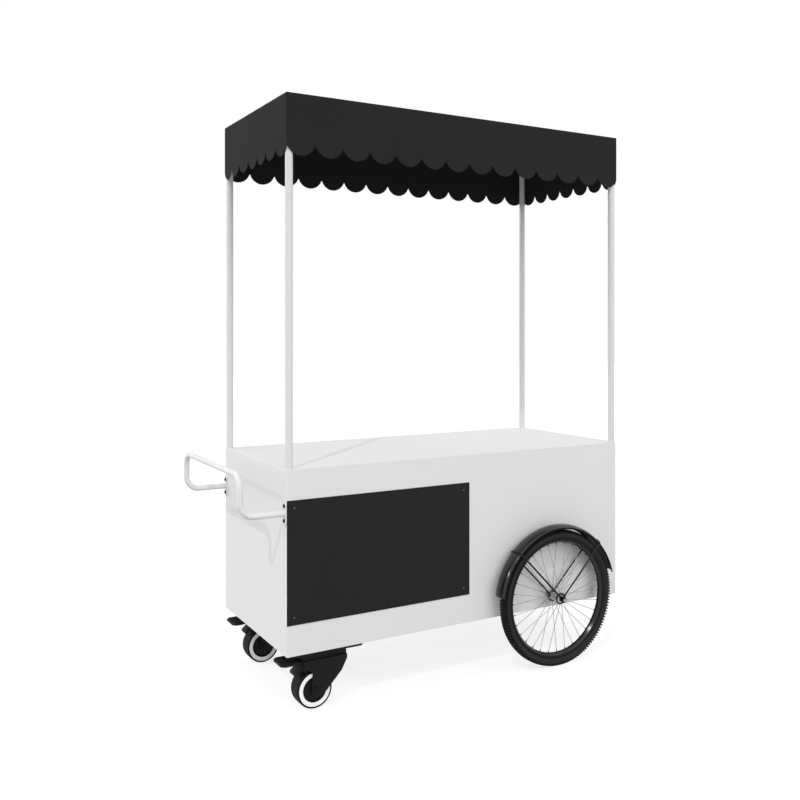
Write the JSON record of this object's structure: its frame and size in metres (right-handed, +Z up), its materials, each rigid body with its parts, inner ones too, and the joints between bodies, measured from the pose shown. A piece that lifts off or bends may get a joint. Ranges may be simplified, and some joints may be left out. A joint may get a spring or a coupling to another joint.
{
  "type": "mobile market stall",
  "caption": "White box cart with a counter under a black scalloped canopy on posts, rolling on spoked wheels with mudguards and braked swivel casters, pushed by a tube handle.",
  "frame": {"origin": "centre of the footprint, on the ground under the wheels", "axes": "+X to the right end, away from the push handle; +Y from the customer's side to the seller's open side; +Z up"},
  "size_m": [1.5648, 0.8006, 2.005],
  "materials": {
    "white_paint": "satin powder coat",
    "frame_paint": "satin powder coat",
    "sign_board": "satin",
    "black_fastener": "satin",
    "canopy_cloth": "matt coated cloth",
    "zinc_steel": "zinc plated",
    "bright_steel": "polished",
    "tyre_rubber": "matt",
    "rim_black": "gloss",
    "guard_black": "gloss",
    "caster_steel": "satin",
    "caster_tread": "matt",
    "caster_white": "gloss",
    "caster_black": "moulded"
  },
  "bodies": {
    "cart": {"body_casing": "white_paint", "front_left_post": "white_paint", "front_right_post": "white_paint", "rear_left_post": "white_paint", "rear_right_post": "white_paint", "push_handle": "white_paint", "handle_flanges": "white_paint", "long_rails": "frame_paint", "cross_rails": "frame_paint", "floor_panel": "frame_paint", "inner_shelf": "frame_paint", "shelf_angles": "frame_paint", "post_spigots": "frame_paint", "canopy_long_rails": "frame_paint", "canopy_end_rails": "frame_paint", "canopy_corners": "frame_paint", "sign_panel": "sign_board", "handle_bolts": "black_fastener", "axle_nuts": "black_fastener", "canopy_cover": "canopy_cloth", "sign_screws": "zinc_steel", "wheel_axle": "zinc_steel", "axle_spacers": "zinc_steel", "caster_plate_bolts": "zinc_steel", "caster_kingpins": "zinc_steel", "caster_plates": "caster_steel", "caster_races": "caster_steel", "front_mudguard": "guard_black", "rear_mudguard": "guard_black", "front_mudguard_stays": "guard_black", "rear_mudguard_stays": "guard_black"},
    "front_wheel": {"front_wheel_tyre": "tyre_rubber", "front_wheel_rim": "rim_black", "front_wheel_spokes": "bright_steel", "front_wheel_hub": "bright_steel"},
    "front_caster": {"front_caster_fork": "caster_steel", "front_caster_axle": "caster_steel", "front_pedal_pin": "caster_steel"},
    "front_caster_wheel": {"front_caster_tread": "caster_tread", "front_caster_rim": "caster_white", "front_caster_hub": "caster_black"},
    "front_pedal": {"front_brake_pedal": "caster_black"},
    "rear_wheel": {"rear_wheel_tyre": "tyre_rubber", "rear_wheel_rim": "rim_black", "rear_wheel_spokes": "bright_steel", "rear_wheel_hub": "bright_steel"},
    "rear_caster": {"rear_caster_fork": "caster_steel", "rear_caster_axle": "caster_steel", "rear_pedal_pin": "caster_steel"},
    "rear_caster_wheel": {"rear_caster_tread": "caster_tread", "rear_caster_rim": "caster_white", "rear_caster_hub": "caster_black"},
    "rear_pedal": {"rear_brake_pedal": "caster_black"}
  },
  "joints": [
    {"name": "front_wheel_spin", "type": "hinge", "parent": "cart", "child": "front_wheel", "pos_m": [0.43565, -0.353, 0.25], "axis": [0, 1, 0], "continuous": true},
    {"name": "front_caster_swivel", "type": "hinge", "parent": "cart", "child": "front_caster", "pos_m": [-0.47235, -0.233, 0.19], "axis": [0, 0, 1], "continuous": true},
    {"name": "front_caster_spin", "type": "hinge", "parent": "front_caster", "child": "front_caster_wheel", "pos_m": [-0.50535, -0.233, 0.0625], "axis": [0, 1, 0], "continuous": true},
    {"name": "front_brake_press", "type": "hinge", "parent": "front_caster", "child": "front_pedal", "pos_m": [-0.53435, -0.233, 0.1461], "axis": [0, -1, 0], "range_deg": [0, 15]},
    {"name": "rear_wheel_spin", "type": "hinge", "parent": "cart", "child": "rear_wheel", "pos_m": [0.43565, 0.353, 0.25], "axis": [0, 1, 0], "continuous": true},
    {"name": "rear_caster_swivel", "type": "hinge", "parent": "cart", "child": "rear_caster", "pos_m": [-0.47235, 0.233, 0.19], "axis": [0, 0, 1], "continuous": true},
    {"name": "rear_caster_spin", "type": "hinge", "parent": "rear_caster", "child": "rear_caster_wheel", "pos_m": [-0.50535, 0.233, 0.0625], "axis": [0, 1, 0], "continuous": true},
    {"name": "rear_brake_press", "type": "hinge", "parent": "rear_caster", "child": "rear_pedal", "pos_m": [-0.53435, 0.233, 0.1461], "axis": [0, -1, 0], "range_deg": [0, 15]}
  ]
}
